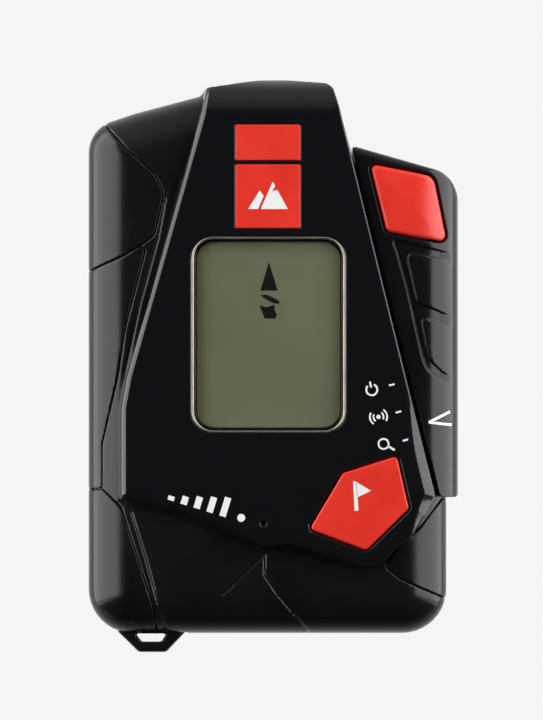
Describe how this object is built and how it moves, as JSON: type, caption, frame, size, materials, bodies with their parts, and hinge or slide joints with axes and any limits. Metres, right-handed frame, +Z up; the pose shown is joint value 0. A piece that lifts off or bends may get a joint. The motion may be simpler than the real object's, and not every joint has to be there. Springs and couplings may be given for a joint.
{
  "type": "avalanche transceiver",
  "caption": "Hand-held avalanche transceiver with a digital display, side mode slider, lock and flag buttons, battery door and leash loop.",
  "frame": {"origin": "point on the flat back face, on the display's centre line, 57 mm above the bottom edge of the housing", "axes": "+Z up along the height, front face towards -Y, +X to the right as seen from the front"},
  "size_m": [0.0739, 0.0282, 0.1137],
  "materials": {
    "cover_plastic": "fine moulded satin",
    "panel_plastic": "polished",
    "grip_rubber": "soft satin",
    "slider_plastic": "satin gloss",
    "window_clear": "clear, slightly olive",
    "pale_line": "printed beige silver",
    "display_film": "olive grey liquid crystal glass",
    "holder_white": "white moulded",
    "diffuser": "milky",
    "red_plastic": "satin red",
    "red_clear": "translucent red",
    "led": "clear over chip",
    "silicone": "soft",
    "seal_blue": "soft",
    "spring_steel": "bright",
    "switch_metal": "stamped",
    "magnet": "nickel plated",
    "board": "solder resist",
    "chip": "moulded epoxy",
    "ferrite": "ground ferrite",
    "copper_wire": "enamelled copper",
    "sounder_brass": "thin disc in a case",
    "cell_jacket": "printed sleeve",
    "contact": "nickel plated",
    "brass": "turned",
    "screw_steel": "stainless"
  },
  "bodies": {
    "housing": {"front_cover": "cover_plastic", "rear_cover": "cover_plastic", "cover_seal": "seal_blue", "front_panel": "panel_plastic", "display_window": "window_clear", "window_frame": "pale_line", "display_glass": "display_film", "display_holder": "holder_white", "back_light": "diffuser", "light_guide": "red_clear", "indicator_led": "led", "front_badge": "red_plastic", "flag_pad": "silicone", "flag_switch": "switch_metal", "upper_left_cap": "grip_rubber", "left_grip": "grip_rubber", "lower_left_bumper": "grip_rubber", "lower_right_bumper": "grip_rubber", "leash_loop": "cover_plastic", "main_board": "board", "board_chips": "chip", "position_sensors": "chip", "long_core": "ferrite", "long_coil": "copper_wire", "cross_core": "ferrite", "cross_coil": "copper_wire", "upright_core": "ferrite", "upright_coil": "copper_wire", "sounder": "sounder_brass", "cell": "cell_jacket", "plus_contact": "contact", "minus_spring": "contact", "door_seal": "silicone", "door_insert": "brass", "housing_screws": "screw_steel"},
    "slider": {"mode_slider": "slider_plastic", "slider_carrier": "cover_plastic", "slider_magnet": "magnet", "lock_spring": "spring_steel"},
    "lock_button": {"lock_button": "red_plastic"},
    "flag_button": {"flag_button": "red_plastic"},
    "battery_door": {"battery_door": "cover_plastic"},
    "door_screw": {"door_screw": "screw_steel"}
  },
  "joints": [
    {"name": "mode_slide", "type": "slide", "parent": "housing", "child": "slider", "axis": [-0.2385, 0, 0.9711], "range_m": [-0.0055, 0.0055]},
    {"name": "lock_press", "type": "slide", "parent": "slider", "child": "lock_button", "axis": [0, 1, 0], "range_m": [0, 0.001], "stiffness_N_per_m": 800, "springref_m": -0.0006, "deforming": ["lock_spring"]},
    {"name": "flag_press", "type": "slide", "parent": "housing", "child": "flag_button", "axis": [0, 1, 0], "range_m": [0, 0.0007], "stiffness_N_per_m": 1500, "springref_m": -0.0004, "deforming": ["flag_pad"]},
    {"name": "door_lift_off", "type": "slide", "parent": "housing", "child": "battery_door", "axis": [0, 1, 0], "range_m": [0, 0.015]},
    {"name": "door_screw_turn", "type": "hinge", "parent": "battery_door", "child": "door_screw", "pos_m": [0, -0.002, -0.0274], "axis": [0, 1, 0], "continuous": true}
  ]
}
